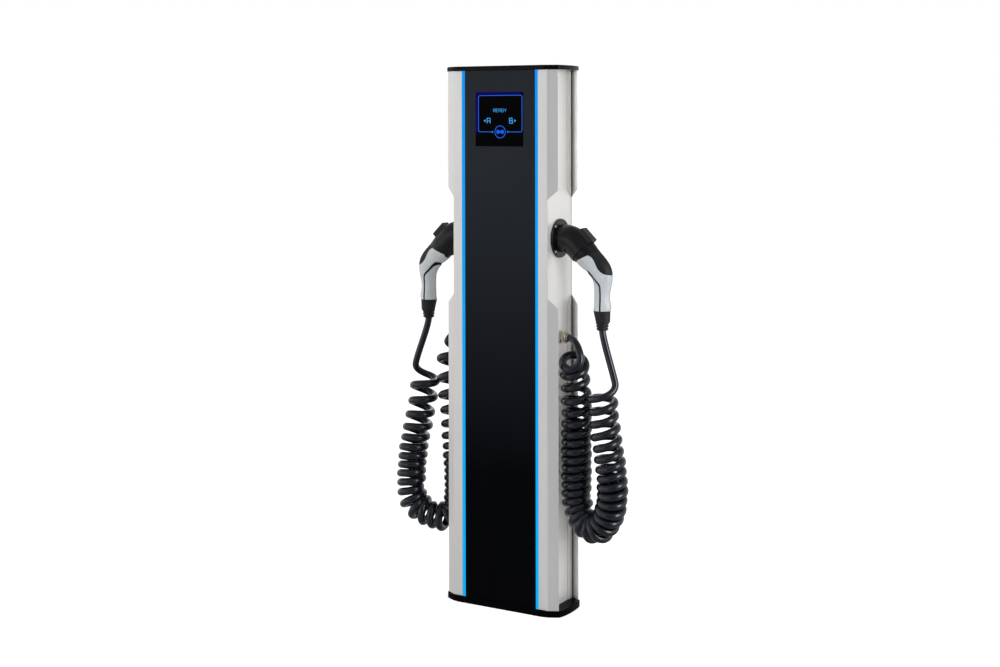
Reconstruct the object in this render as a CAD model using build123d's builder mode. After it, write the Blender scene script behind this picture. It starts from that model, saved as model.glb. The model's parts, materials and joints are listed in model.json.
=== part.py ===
from build123d import *
import math
import os

# EV charging post: a slim two-outlet pillar with a coiled cable and a holstered plug on each side.
# Millimetres.  Origin at the centre of the plinth underside, front towards -Y, outlet B towards +X, +Z up.

# ------------------------------------------------------------------ driving dimensions
POST_HEIGHT = 1400
PLINTH_THICKNESS = 16
CAP_THICKNESS = 12
PLAN_HALF_DEPTH = 72          # plinth and cap, front to centre
PLAN_HALF_WIDTH = 174.5       # plinth and cap, bulging side to centre
BODY_HALF_DEPTH = 68          # front panel face and door face to centre
SIDE_FACE_X = 139.45          # outer face of the flat side panels
SKIN = 2.4                    # wall of the corner extrusions
FIT_GAP = 0.05                # play left between pieces that slide together

WING_FRONT_EDGE = (113.8, -67.5)  # where the corner extrusion starts beside the light strip
WING_CREASE = (139.5, -67)        # where its flange turns back
WING_TIP = (164.5, -54)
LIP_INNER_X = 90              # rebate lip behind the front panel and the door
LIP_Y = (-56, -54)
RETURN_X = (113.8, 115.8)     # wall from the front face back to the lip
SIDE_PANEL_HALF_WIDTH = 61.6
SIDE_SHEET = 2.8
SIDE_SLOT_PLAY = 0.6          # play around the side panel's edge in its slot
SIDE_LEG_END_Y = -38.7        # how far the slot's outer leg reaches over the side panel
SIDE_LEG_SHEET = 1.5
BEAD_CENTRE = (141.7, -55.9)  # rib that stiffens the outer leg
BEAD_RADIUS = 1.3
PORT_CENTRES = [(125, -60.6), (104, -49.4)]
PORT_RADIUS = 5
PORT_BORE = 2.5

NOTCH_LOW, NOTCH_HIGH = 805, 1058     # gap in the side flanges around the holster, at its root
NOTCH_X = 140.2
NOTCH_SLOPE = 1.0

PANEL_HALF_WIDTH = 104.6
PANEL_SHEET = 3
LIGHT_INNER_X, LIGHT_OUTER_X = 105.3, 113.2
LIGHT_FACE_Y = -67.6
LIGHT_WALL = 0.8
LIGHT_CHIP_PITCH = 40

DISPLAY_CENTRE_Z = 1262
DISPLAY_WIDTH, DISPLAY_HEIGHT = 142, 140

DOOR_HALF_WIDTH = 112.3
DOOR_SHEET = 2
DOOR_GAP = 2
HINGE_AXIS = (-114.3, 72.5)
HINGE_HEIGHTS = [200, 702, 1204]
HINGE_RADIUS = 4.5
HINGE_PIN_RADIUS = 2
HINGE_HALF_HEIGHT = 25
HINGE_LEAF_Y = 71.5           # outer face of the hinge leaves
LOCK_X, LOCK_Z = 76, 760

HOLSTER_Z = 956
HOLSTER_FLANGE_RADIUS = 50
HOLSTER_TUBE_RADIUS = 35.5
HOLSTER_BORE_RADIUS = 29
HOLSTER_SCREW_HALF_PITCH = 31.4
MOUTH = (208.5, 923.5)        # centre of the holster mouth in X and Z
BORE_DEPTH = 50
GLAND_Z = 702
CABLE_RADIUS = 9
PLUG_TAIL = (262, 722)         # X and Z where the cable leaves the boot
COIL_RADIUS = 38

PLATE_Y = -27                 # front face of the inner mounting plate
PLATE_SHEET = 2
RAIL_HEIGHTS = [1050, 820, 560, 330]
RAIL_FACE_Y = -17.5
BREAKER_CENTRES_X = [-40, 40]

ANCHOR_SPACING = (160, 76)
ANCHOR_RADIUS = 7
CONDUIT_RADIUS = 38

# ------------------------------------------------------------------ values worked out from those
BODY_BOTTOM = PLINTH_THICKNESS
BODY_TOP = POST_HEIGHT - CAP_THICKNESS
BODY_HEIGHT = BODY_TOP - BODY_BOTTOM
BODY_MIDDLE_Z = (BODY_TOP + BODY_BOTTOM) / 2
PANEL_BACK_Y = -(BODY_HALF_DEPTH - PANEL_SHEET)
HALF_ROOT = math.sqrt(0.5)


def publish(part, name):
    """Label one finished piece and write it as its own STEP file."""
    part.label = name
    export_step(part, f"parts/{name}.step")


def block(low, high, mode=Mode.ADD):
    """A box between two opposite corners, in the open part."""
    centre = tuple((a + b) / 2 for a, b in zip(low, high))
    size = [b - a for a, b in zip(low, high)]
    with Locations(centre):
        Box(*size, mode=mode)


def rod(start, end, radius, mode=Mode.ADD):
    """A cylinder between two points, in the open part."""
    run = Vector(*end) - Vector(*start)
    with Locations(Plane(origin=start, z_dir=run)):
        Cylinder(radius, run.length, align=(Align.CENTER, Align.CENTER, Align.MIN), mode=mode)


def hex_rod(start, end, across_flats, mode=Mode.ADD):
    """A hexagonal bar between two points, in the open part."""
    run = Vector(*end) - Vector(*start)
    with BuildSketch(Plane(origin=start, z_dir=run)) as section:
        RegularPolygon(across_flats / 2, 6, major_radius=False)
    extrude(section.sketch, amount=run.length, mode=mode)


def pan_screw(seat, direction, shank_radius, length, head_radius, head_height):
    """A pan-head screw whose head sits on the point seat and whose shank runs along direction."""
    unit = Vector(*direction).normalized()
    base = Vector(*seat)
    rod(base, base + unit * length, shank_radius)
    rod(base, base - unit * head_height, head_radius)
    rod(base - unit * head_height, base - unit * (head_height - 1.2), head_radius * 0.35, Mode.SUBTRACT)


def mirrored(part):
    """The same piece on the other side of the post."""
    return mirror(part, about=Plane.YZ)


os.makedirs("parts", exist_ok=True)

# ------------------------------------------------------------------ plan outline of plinth and cap
SHOULDER = (135, -PLAN_HALF_DEPTH)
CORNER = (168.2, -54.6)
SHOULDER_RADIUS, CORNER_RADIUS = 60, 9
with BuildSketch() as footprint:
    with BuildLine():
        for side in (1, -1):
            Line((-SHOULDER[0], side * SHOULDER[1]), (SHOULDER[0], side * SHOULDER[1]))
            ThreePointArc(
                (side * CORNER[0], CORNER[1]), (side * PLAN_HALF_WIDTH, 0), (side * CORNER[0], -CORNER[1]))
            for end in (1, -1):
                Line((side * SHOULDER[0], end * SHOULDER[1]), (side * CORNER[0], end * CORNER[1]))
    make_face()
    fillet(footprint.vertices().group_by(lambda v: abs(v.X))[0], SHOULDER_RADIUS)
    fillet(footprint.vertices().group_by(lambda v: round(abs(v.X), 2))[-1], CORNER_RADIUS)

port_places = [(sx * x, sy * y) for x, y in PORT_CENTRES for sx in (1, -1) for sy in (1, -1)]

# ------------------------------------------------------------------ base plate and its screws
with BuildPart() as base_plate:
    with BuildSketch():
        add(footprint.sketch)
    extrude(amount=PLINTH_THICKNESS)
    fillet(base_plate.faces().sort_by(Axis.Z)[-1].edges(), 1.6)
    with BuildSketch():
        Circle(CONDUIT_RADIUS)
        with GridLocations(*ANCHOR_SPACING, 2, 2):
            Circle(ANCHOR_RADIUS)
        with Locations(*port_places):
            Circle(2.75)
    extrude(amount=PLINTH_THICKNESS, mode=Mode.SUBTRACT)
    with BuildSketch():
        with Locations(*port_places):
            Circle(5.2)
    extrude(amount=4.5, mode=Mode.SUBTRACT)
publish(base_plate.part, "base_plate")

with BuildPart() as base_screws:
    for x, y in port_places:
        pan_screw((x, y, 4.5), (0, 0, 1), PORT_BORE - FIT_GAP, 27, 4.6, 3)
publish(base_screws.part, "base_screws")

# ------------------------------------------------------------------ top plate, cap and their screws
CAP_SCREWS = [(sx * 60, sy * 40) for sx in (1, -1) for sy in (1, -1)]
TOP_PLATE_SHEET = 3.5

with BuildPart() as top_plate:
    with BuildSketch(Plane.XY.offset(BODY_TOP)):
        offset(footprint.sketch, amount=-7)
        with Locations(*port_places):
            Circle(2.75, mode=Mode.SUBTRACT)
        with Locations(*CAP_SCREWS):
            Circle(2.3, mode=Mode.SUBTRACT)
    extrude(amount=TOP_PLATE_SHEET)
publish(top_plate.part, "top_plate")

with BuildPart() as top_plate_screws:
    for x, y in port_places:
        pan_screw((x, y, BODY_TOP + TOP_PLATE_SHEET), (0, 0, -1), PORT_BORE - FIT_GAP, 22, 4.2, 2.6)
publish(top_plate_screws.part, "top_plate_screws")

with BuildPart() as top_cap:
    with BuildSketch(Plane.XY.offset(BODY_TOP)):
        add(footprint.sketch)
    extrude(amount=CAP_THICKNESS)
    fillet(top_cap.faces().sort_by(Axis.Z)[-1].edges(), 4.5)
    fillet(top_cap.faces().sort_by(Axis.Z)[0].edges(), 1.2)
    with BuildSketch(Plane.XY.offset(BODY_TOP)):
        offset(footprint.sketch, amount=-6.7)
    extrude(amount=TOP_PLATE_SHEET + 3.2, mode=Mode.SUBTRACT)
    for x, y in CAP_SCREWS:
        rod((x, y, BODY_TOP + TOP_PLATE_SHEET), (x, y, BODY_TOP + 8), 5)
        rod((x, y, BODY_TOP + TOP_PLATE_SHEET), (x, y, BODY_TOP + 9.5), 2, Mode.SUBTRACT)
publish(top_cap.part, "top_cap")

with BuildPart() as top_cap_screws:
    for x, y in CAP_SCREWS:
        pan_screw((x, y, BODY_TOP), (0, 0, 1), 1.95, 9, 3.8, 2.6)
publish(top_cap_screws.part, "top_cap_screws")

# ------------------------------------------------------------------ corner extrusions
STUD_X = 94.5
STUD_HEIGHTS = [80, 480, 880, 1330]
BRACKET_HEIGHTS = [230, 1110]


def moved_in(point, along):
    """The point moved one skin thickness to the inside of a wall that runs in the direction along."""
    length = math.hypot(*along)
    return (point[0] - SKIN * along[1] / length, point[1] + SKIN * along[0] / length)


def wall(x_range, y_range):
    """A rectangle between two X values and two Y values, in the open sketch."""
    with Locations((sum(x_range) / 2, sum(y_range) / 2)):
        Rectangle(x_range[1] - x_range[0], y_range[1] - y_range[0])


flange_run = (WING_TIP[0] - WING_CREASE[0], WING_TIP[1] - WING_CREASE[1])
slot_floor_y = -(SIDE_PANEL_HALF_WIDTH + SIDE_SLOT_PLAY)
slot_inner_x = SIDE_FACE_X - SIDE_SHEET - FIT_GAP
slot_outer_x = SIDE_FACE_X + FIT_GAP
leg_outer_x = slot_outer_x + SIDE_LEG_SHEET

with BuildSketch() as wing_section:
    with BuildLine():
        Polyline(
            WING_FRONT_EDGE, WING_CREASE, WING_TIP, moved_in(WING_TIP, flange_run),
            moved_in(WING_CREASE, flange_run), (WING_FRONT_EDGE[0], WING_FRONT_EDGE[1] + SKIN), close=True)
    make_face()
    wall(RETURN_X, (WING_FRONT_EDGE[1] + 1, LIP_Y[1]))
    wall((LIP_INNER_X, RETURN_X[1]), LIP_Y)
    wall((slot_outer_x, leg_outer_x), (slot_floor_y - 2, SIDE_LEG_END_Y))
    wall((slot_inner_x - 2, slot_inner_x), (slot_floor_y - 2, slot_floor_y + 20))
    wall((slot_inner_x - 2, slot_outer_x + 0.5), (slot_floor_y - 3, slot_floor_y))
    with Locations(BEAD_CENTRE):
        Circle(BEAD_RADIUS)
    with Locations(*PORT_CENTRES):
        Circle(PORT_RADIUS)
    with Locations(*PORT_CENTRES):
        Circle(PORT_BORE, mode=Mode.SUBTRACT)


def corner_wing(lip_holes):
    """The front right corner extrusion, notched around the holster, with screw holes in its lip."""
    beyond_tip = WING_TIP[0] + 4
    rise = (beyond_tip - NOTCH_X) * NOTCH_SLOPE
    leg_root_y, leg_end_y = slot_floor_y - 2, SIDE_LEG_END_Y + 1
    leg_width = leg_end_y - leg_root_y
    with BuildPart() as wing:
        with BuildSketch(Plane.XY.offset(BODY_BOTTOM)):
            add(wing_section.sketch)
        extrude(amount=BODY_HEIGHT)
        with BuildSketch(Plane.XZ):
            with BuildLine():
                Polyline(
                    (NOTCH_X, NOTCH_LOW), (beyond_tip, NOTCH_LOW - rise),
                    (beyond_tip, NOTCH_HIGH + rise), (NOTCH_X, NOTCH_HIGH), close=True)
            make_face()
        extrude(amount=90, mode=Mode.SUBTRACT)
        with BuildSketch(Plane.YZ.offset(slot_outer_x)):
            with BuildLine():
                Polyline(
                    (leg_root_y, NOTCH_LOW), (leg_root_y, NOTCH_HIGH),
                    (leg_end_y, NOTCH_HIGH + leg_width), (leg_end_y, NOTCH_LOW - leg_width), close=True)
            make_face()
        extrude(amount=4, mode=Mode.SUBTRACT)
        for height in lip_holes:
            rod((STUD_X, LIP_Y[0] - 1, height), (STUD_X, LIP_Y[1] + 1, height), 2.3, Mode.SUBTRACT)
    return wing.part


front_right_wing = corner_wing(STUD_HEIGHTS + BRACKET_HEIGHTS)
rear_right_wing = mirror(corner_wing([]), about=Plane.XZ)
rear_left_wing = mirrored(rear_right_wing)
publish(front_right_wing, "front_right_wing")
publish(mirrored(front_right_wing), "front_left_wing")
publish(rear_right_wing, "rear_right_wing")
publish(rear_left_wing, "rear_left_wing")

# ------------------------------------------------------------------ side panels
holster_screw_places = [
    (sy * HOLSTER_SCREW_HALF_PITCH, sz * HOLSTER_SCREW_HALF_PITCH) for sy in (1, -1) for sz in (1, -1)]

with BuildPart() as side_panel:
    with BuildSketch(Plane.YZ.offset(SIDE_FACE_X - SIDE_SHEET)):
        with Locations((0, BODY_MIDDLE_Z)):
            Rectangle(2 * SIDE_PANEL_HALF_WIDTH, BODY_HEIGHT)
        with Locations((0, GLAND_Z)):
            Circle(12.6, mode=Mode.SUBTRACT)
        with Locations(*[(y, HOLSTER_Z + z) for y, z in holster_screw_places]):
            Circle(2.6, mode=Mode.SUBTRACT)
    extrude(amount=SIDE_SHEET)
publish(side_panel.part, "right_side_panel")
publish(mirrored(side_panel.part), "left_side_panel")

# ------------------------------------------------------------------ front panel and its screws
DISPLAY_STUDS = [(sx * 78, DISPLAY_CENTRE_Z + sz * 77) for sx in (1, -1) for sz in (1, -1)]
stud_places = [(sx * STUD_X, z) for sx in (1, -1) for z in STUD_HEIGHTS]

with BuildPart() as front_panel:
    with BuildSketch(Plane.XZ.offset(-PANEL_BACK_Y)):
        with Locations((0, BODY_MIDDLE_Z)):
            Rectangle(2 * PANEL_HALF_WIDTH, BODY_HEIGHT)
        with Locations((0, DISPLAY_CENTRE_Z)):
            Rectangle(DISPLAY_WIDTH + 0.6, DISPLAY_HEIGHT + 0.6, mode=Mode.SUBTRACT)
    extrude(amount=PANEL_SHEET)
    fillet(front_panel.faces().sort_by(Axis.Y)[0].outer_wire().edges().filter_by(Axis.Z), 1.2)
    for side in (1, -1):
        edge = side * (PANEL_HALF_WIDTH - 1)
        block((edge - 1, PANEL_BACK_Y, BODY_BOTTOM), (edge + 1, LIP_Y[0] - FIT_GAP, BODY_TOP))
    for x, z in stud_places:
        rod((x, PANEL_BACK_Y, z), (x, LIP_Y[0] - FIT_GAP, z), 3.6)
        rod((x, PANEL_BACK_Y, z), (x, LIP_Y[0] - FIT_GAP, z), 2, Mode.SUBTRACT)
    for x, z in DISPLAY_STUDS:
        rod((x, PANEL_BACK_Y, z), (x, PANEL_BACK_Y + 10, z), 2)
publish(front_panel.part, "front_panel")

with BuildPart() as front_panel_screws:
    for x, z in stud_places:
        pan_screw((x, LIP_Y[1], z), (0, -1, 0), 1.95, 10, 3.8, 2.6)
publish(front_panel_screws.part, "front_panel_screws")

# ------------------------------------------------------------------ light strips beside the front panel
light_middle = (LIGHT_INNER_X + LIGHT_OUTER_X) / 2
light_shoulder_y = LIGHT_FACE_Y + 0.5
board_half_width = (LIGHT_OUTER_X - LIGHT_INNER_X) / 2 - LIGHT_WALL - 0.3
board_face_y = LIP_Y[0] - 1.2
with BuildPart() as light_diffuser:
    with BuildSketch(Plane.XY.offset(BODY_BOTTOM)):
        with BuildLine():
            ThreePointArc(
                (LIGHT_INNER_X, light_shoulder_y), (light_middle, LIGHT_FACE_Y),
                (LIGHT_OUTER_X, light_shoulder_y))
            Polyline(
                (LIGHT_OUTER_X, light_shoulder_y), (LIGHT_OUTER_X, LIP_Y[0]),
                (LIGHT_INNER_X, LIP_Y[0]), (LIGHT_INNER_X, light_shoulder_y))
        make_face()
        with Locations((light_middle, LIP_Y[0] - 4.5)):
            Rectangle(LIGHT_OUTER_X - LIGHT_INNER_X - 2 * LIGHT_WALL, 9, mode=Mode.SUBTRACT)
    extrude(amount=BODY_HEIGHT)
    mirror(about=Plane.YZ)
publish(light_diffuser.part, "light_diffusers")

with BuildPart() as light_boards:
    block(
        (light_middle - board_half_width, board_face_y, BODY_BOTTOM + 6),
        (light_middle + board_half_width, LIP_Y[0], BODY_TOP - 6))
    with BuildSketch(Plane.XZ.offset(-board_face_y)):
        with Locations((light_middle, BODY_MIDDLE_Z)):
            with GridLocations(0, LIGHT_CHIP_PITCH, 1, 34):
                Rectangle(3.5, 3.5)
    extrude(amount=1.4)
    mirror(about=Plane.YZ)
publish(light_boards.part, "light_boards")

# ------------------------------------------------------------------ display group
HOUSING_DEPTH = 28
window_back = PANEL_BACK_Y
with BuildPart() as display_window:
    with BuildSketch(Plane.XZ.offset(-window_back)):
        with Locations((0, DISPLAY_CENTRE_Z)):
            RectangleRounded(DISPLAY_WIDTH, DISPLAY_HEIGHT, 2)
    extrude(amount=PANEL_SHEET + 0.4)
    chamfer(display_window.faces().sort_by(Axis.Y)[0].edges(), 0.35)
publish(display_window.part, "display_window")

with BuildPart() as display_housing:
    with BuildSketch(Plane.XZ.offset(-(window_back + 2.5))):
        with Locations((0, DISPLAY_CENTRE_Z)):
            RectangleRounded(166, 164, 4)
    extrude(amount=2.5)
    with BuildSketch(Plane.XZ.offset(-(window_back + HOUSING_DEPTH))):
        with Locations((0, DISPLAY_CENTRE_Z)):
            RectangleRounded(138, 136, 4)
    extrude(amount=HOUSING_DEPTH)
    with BuildSketch(Plane.XZ.offset(-(window_back + HOUSING_DEPTH - 2.5))):
        with Locations((0, DISPLAY_CENTRE_Z)):
            RectangleRounded(133, 131, 2)
    extrude(amount=HOUSING_DEPTH, mode=Mode.SUBTRACT)
    for x, z in DISPLAY_STUDS:
        rod((x, window_back - 1, z), (x, window_back + 4, z), 2.2, Mode.SUBTRACT)
    for sx in (1, -1):
        for sz in (1, -1):
            corner = (sx * 60, DISPLAY_CENTRE_Z + sz * 59)
            rod((corner[0], window_back + HOUSING_DEPTH - 2.5, corner[1]),
                (corner[0], window_back + 14, corner[1]), 3)
publish(display_housing.part, "display_housing")

with BuildPart() as display_nuts:
    for x, z in DISPLAY_STUDS:
        hex_rod((x, window_back + 2.5, z), (x, window_back + 5.7, z), 7)
        rod((x, window_back + 2.4, z), (x, window_back + 6, z), 2 + FIT_GAP, Mode.SUBTRACT)
publish(display_nuts.part, "display_nuts")

with BuildPart() as display_board:
    block((-64, window_back + 12.4, DISPLAY_CENTRE_Z - 63), (64, window_back + 14, DISPLAY_CENTRE_Z + 63))
    block((-55, window_back + 6, DISPLAY_CENTRE_Z - 24), (55, window_back + 12.4, DISPLAY_CENTRE_Z + 56))
    block((-30, window_back + 14, DISPLAY_CENTRE_Z - 20), (10, window_back + 17, DISPLAY_CENTRE_Z + 20))
publish(display_board.part, "display_board")

with BuildPart() as card_antenna:
    with BuildSketch(Plane.XZ.offset(-(window_back + 4.5))):
        with Locations((0, DISPLAY_CENTRE_Z - 42)):
            RectangleRounded(70, 40, 6)
            RectangleRounded(56, 26, 4, mode=Mode.SUBTRACT)
    extrude(amount=1.4)
publish(card_antenna.part, "card_reader_antenna")

# ------------------------------------------------------------------ rear door, seal, hinges and lock
door_low, door_high = BODY_BOTTOM + DOOR_GAP, BODY_TOP - DOOR_GAP
door_inner_y = BODY_HALF_DEPTH - DOOR_SHEET
with BuildPart() as rear_door:
    block((-DOOR_HALF_WIDTH, 58, door_low), (DOOR_HALF_WIDTH, BODY_HALF_DEPTH, door_high))
    fillet(rear_door.faces().sort_by(Axis.Y)[-1].edges(), 1.2)
    block((-DOOR_HALF_WIDTH + 2, 50, door_low + 2), (DOOR_HALF_WIDTH - 2, door_inner_y, door_high - 2),
          Mode.SUBTRACT)
    rod((LOCK_X, 60, LOCK_Z), (LOCK_X, 70, LOCK_Z), 11 + FIT_GAP, Mode.SUBTRACT)
publish(rear_door.part, "rear_door")

with BuildPart() as door_seal:
    with BuildSketch(Plane.XZ.offset(-57.7)):
        with Locations((0, BODY_MIDDLE_Z)):
            Rectangle(2 * (RETURN_X[0] - 0.3), BODY_HEIGHT - 2)
            Rectangle(2 * (RETURN_X[0] - 7.5), BODY_HEIGHT - 14, mode=Mode.SUBTRACT)
    extrude(amount=1.7)
publish(door_seal.part, "door_seal")

with BuildPart() as hinge_frame_halves:
    for height in HINGE_HEIGHTS:
        low = height - HINGE_HALF_HEIGHT
        rod((*HINGE_AXIS, low), (*HINGE_AXIS, height - 0.2), HINGE_RADIUS)
        block((HINGE_AXIS[0] - 13, -WING_FRONT_EDGE[1], low), (HINGE_AXIS[0], HINGE_LEAF_Y, height - 0.2))
        rod((*HINGE_AXIS, low - 1), (*HINGE_AXIS, height), HINGE_PIN_RADIUS, Mode.SUBTRACT)
publish(hinge_frame_halves.part, "hinge_frame_halves")

with BuildPart() as hinge_door_halves:
    for height in HINGE_HEIGHTS:
        high = height + HINGE_HALF_HEIGHT
        rod((*HINGE_AXIS, height + 0.2), (*HINGE_AXIS, high), HINGE_RADIUS)
        block((HINGE_AXIS[0], BODY_HALF_DEPTH, height + 0.2), (HINGE_AXIS[0] + 13, HINGE_LEAF_Y, high))
        rod((*HINGE_AXIS, height), (*HINGE_AXIS, high + 1), HINGE_PIN_RADIUS + FIT_GAP, Mode.SUBTRACT)
publish(hinge_door_halves.part, "hinge_door_halves")

with BuildPart() as hinge_pins:
    for height in HINGE_HEIGHTS:
        low, high = height - HINGE_HALF_HEIGHT, height + HINGE_HALF_HEIGHT - 1
        rod((*HINGE_AXIS, low), (*HINGE_AXIS, high), HINGE_PIN_RADIUS)
publish(hinge_pins.part, "hinge_pins")

with BuildPart() as lock_barrel:
    rod((LOCK_X, BODY_HALF_DEPTH, LOCK_Z), (LOCK_X, 70.5, LOCK_Z), 14)
    rod((LOCK_X, 54.5, LOCK_Z), (LOCK_X, BODY_HALF_DEPTH, LOCK_Z), 11)
    rod((LOCK_X, 50, LOCK_Z), (LOCK_X, 72, LOCK_Z), 7 + FIT_GAP, Mode.SUBTRACT)
publish(lock_barrel.part, "door_lock_barrel")

with BuildPart() as lock_cylinder:
    rod((LOCK_X, 54.3, LOCK_Z), (LOCK_X, 70, LOCK_Z), 7)
    rod((LOCK_X, 50.6, LOCK_Z), (LOCK_X, 54.3, LOCK_Z), 4)
    block((LOCK_X - 0.7, 66, LOCK_Z - 4), (LOCK_X + 0.7, 71, LOCK_Z + 4), Mode.SUBTRACT)
publish(lock_cylinder.part, "door_lock_cylinder")

with BuildPart() as lock_cam:
    with BuildSketch(Plane.XZ.offset(-53.6)):
        with Locations((LOCK_X, LOCK_Z - 7)):
            SlotCenterToCenter(14, 14, rotation=90)
        with Locations((LOCK_X, LOCK_Z)):
            Circle(4, mode=Mode.SUBTRACT)
    extrude(amount=2)
publish(lock_cam.part, "door_lock_cam")

# ------------------------------------------------------------------ inner mounting plate and DIN rails
plate_rear = PLATE_Y + PLATE_SHEET
bracket_places = [(side, z) for side in (1, -1) for z in BRACKET_HEIGHTS]
with BuildPart() as mounting_plate:
    block((-86, PLATE_Y, 150), (86, plate_rear, 1150))
    fillet(mounting_plate.edges().filter_by(Axis.Y), 6)
    for side, z in bracket_places:
        rod((side * 76, PLATE_Y - 1, z), (side * 76, plate_rear + 1, z), 2.6, Mode.SUBTRACT)
publish(mounting_plate.part, "mounting_plate")

with BuildPart() as plate_brackets:
    for side, z in bracket_places:
        for x0, x1, y0, y1 in (
            (86, 98, LIP_Y[1], LIP_Y[1] + 2.5),
            (84, 86.5, LIP_Y[1], PLATE_Y),
            (66, 86.5, PLATE_Y - 2.5, PLATE_Y),
        ):
            low_x, high_x = sorted((side * x0, side * x1))
            block((low_x, y0, z - 20), (high_x, y1, z + 20))
        rod((side * 76, PLATE_Y - 4, z), (side * 76, PLATE_Y + 1, z), 2.5, Mode.SUBTRACT)
        rod((side * STUD_X, LIP_Y[0], z), (side * STUD_X, LIP_Y[1] + 4, z), 2.3, Mode.SUBTRACT)
publish(plate_brackets.part, "plate_brackets")

with BuildPart() as bracket_screws:
    for side, z in bracket_places:
        pan_screw((side * 76, plate_rear, z), (0, -1, 0), 2.45, 9, 4.6, 2.6)
        pan_screw((side * STUD_X, LIP_Y[1] + 2.5, z), (0, -1, 0), 1.95, 7, 3.4, 2.4)
publish(bracket_screws.part, "bracket_screws")

with BuildPart() as din_rails:
    for z in RAIL_HEIGHTS:
        with BuildSketch(Plane.YZ.offset(-82)):
            with Locations((plate_rear + 0.5, z)):
                Rectangle(1, 27)
            with Locations((plate_rear + 3.75, z + 13), (plate_rear + 3.75, z - 13)):
                Rectangle(7.5, 1)
            with Locations((RAIL_FACE_Y - 0.5, z + 15), (RAIL_FACE_Y - 0.5, z - 15)):
                Rectangle(1, 5)
        extrude(amount=164)
publish(din_rails.part, "din_rails")

# ------------------------------------------------------------------ devices on the rails
DEVICE_HEIGHT = 86
DEVICE_SHOULDER_Y = 27        # face above and below the raised middle, where the terminals are
DEVICE_NOSE_Y = 44
DEVICE_NOSE_HALF_HEIGHT = 23
MODULE_WIDTH = 18
TERMINAL_OFFSET_Z = 33


def modular_device(centre_x, centre_z, width, nose_y=DEVICE_NOSE_Y):
    """The stepped housing of a rail-mounted device, in the open part."""
    low_x = centre_x - width / 2
    bottom, top = centre_z - DEVICE_HEIGHT / 2, centre_z + DEVICE_HEIGHT / 2
    nose_low, nose_high = centre_z - DEVICE_NOSE_HALF_HEIGHT, centre_z + DEVICE_NOSE_HALF_HEIGHT
    with BuildSketch(Plane.YZ.offset(low_x)) as side_view:
        with BuildLine():
            Polyline(
                (RAIL_FACE_Y, bottom), (DEVICE_SHOULDER_Y, bottom), (DEVICE_SHOULDER_Y, nose_low),
                (nose_y, nose_low), (nose_y, nose_high), (DEVICE_SHOULDER_Y, nose_high),
                (DEVICE_SHOULDER_Y, top), (RAIL_FACE_Y, top), close=True)
        make_face()
    extrude(side_view.sketch, amount=width)
    poles = max(2, round(width / MODULE_WIDTH))
    for index in range(poles):
        x = low_x + (index + 0.5) * width / poles
        for z in (centre_z - TERMINAL_OFFSET_Z, centre_z + TERMINAL_OFFSET_Z):
            rod((x, DEVICE_SHOULDER_Y - 8, z), (x, DEVICE_SHOULDER_Y + 1, z), 3, Mode.SUBTRACT)


TOGGLE_AXIS_Y = 41
TRUNNION_RADIUS = 1.5
toggle_z = RAIL_HEIGHTS[2]
with BuildPart() as breakers:
    for x in BREAKER_CENTRES_X:
        modular_device(x, toggle_z, 72)
        rod((x - 15.2, TOGGLE_AXIS_Y, toggle_z), (x + 15.2, TOGGLE_AXIS_Y, toggle_z), 7, Mode.SUBTRACT)
        rod((x - 18, TOGGLE_AXIS_Y, toggle_z), (x + 18, TOGGLE_AXIS_Y, toggle_z),
            TRUNNION_RADIUS + FIT_GAP, Mode.SUBTRACT)
publish(breakers.part, "breakers")


def toggle(centre_x):
    """A rocker lever on its own trunnions, standing 40 degrees above level when switched on."""
    rest = math.radians(40)
    with BuildPart() as lever:
        rod((centre_x - 15, TOGGLE_AXIS_Y, toggle_z), (centre_x + 15, TOGGLE_AXIS_Y, toggle_z), 6)
        rod((centre_x - 17.5, TOGGLE_AXIS_Y, toggle_z), (centre_x + 17.5, TOGGLE_AXIS_Y, toggle_z),
            TRUNNION_RADIUS)
        paddle = Plane(
            origin=(centre_x, TOGGLE_AXIS_Y, toggle_z), x_dir=(1, 0, 0),
            z_dir=(0, math.cos(rest), math.sin(rest)))
        with BuildSketch(paddle):
            RectangleRounded(30, 4, 1.5)
        extrude(amount=15)
    return lever.part


publish(toggle(BREAKER_CENTRES_X[0]), "breaker_a_toggle")
publish(toggle(BREAKER_CENTRES_X[1]), "breaker_b_toggle")

with BuildPart() as contactors:
    for x in (-59, -12):
        modular_device(x, RAIL_HEIGHTS[1], 45)
publish(contactors.part, "contactors")

with BuildPart() as energy_meters:
    for x in (31, 68):
        modular_device(x, RAIL_HEIGHTS[1], 35)
        block(
            (x - 11, DEVICE_NOSE_Y - 1, RAIL_HEIGHTS[1] + 4),
            (x + 11, DEVICE_NOSE_Y + 1, RAIL_HEIGHTS[1] + 16), Mode.SUBTRACT)
publish(energy_meters.part, "energy_meters")

with BuildPart() as charge_controller:
    modular_device(-27, RAIL_HEIGHTS[0], 105)
publish(charge_controller.part, "charge_controller")

with BuildPart() as power_supply:
    modular_device(56, RAIL_HEIGHTS[0], 54, nose_y=38)
publish(power_supply.part, "power_supply")

TERMINAL_PITCH = 16.4
with BuildPart() as supply_terminals:
    for index in range(5):
        x = (index - 2) * TERMINAL_PITCH
        block((x - 8, RAIL_FACE_Y, RAIL_HEIGHTS[3] - 35), (x + 8, 30, RAIL_HEIGHTS[3] + 35))
        for end in (1, -1):
            rod((x, 20, RAIL_HEIGHTS[3] + end * 24), (x, 31, RAIL_HEIGHTS[3] + end * 24), 4.5, Mode.SUBTRACT)
publish(supply_terminals.part, "supply_terminals")

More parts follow.
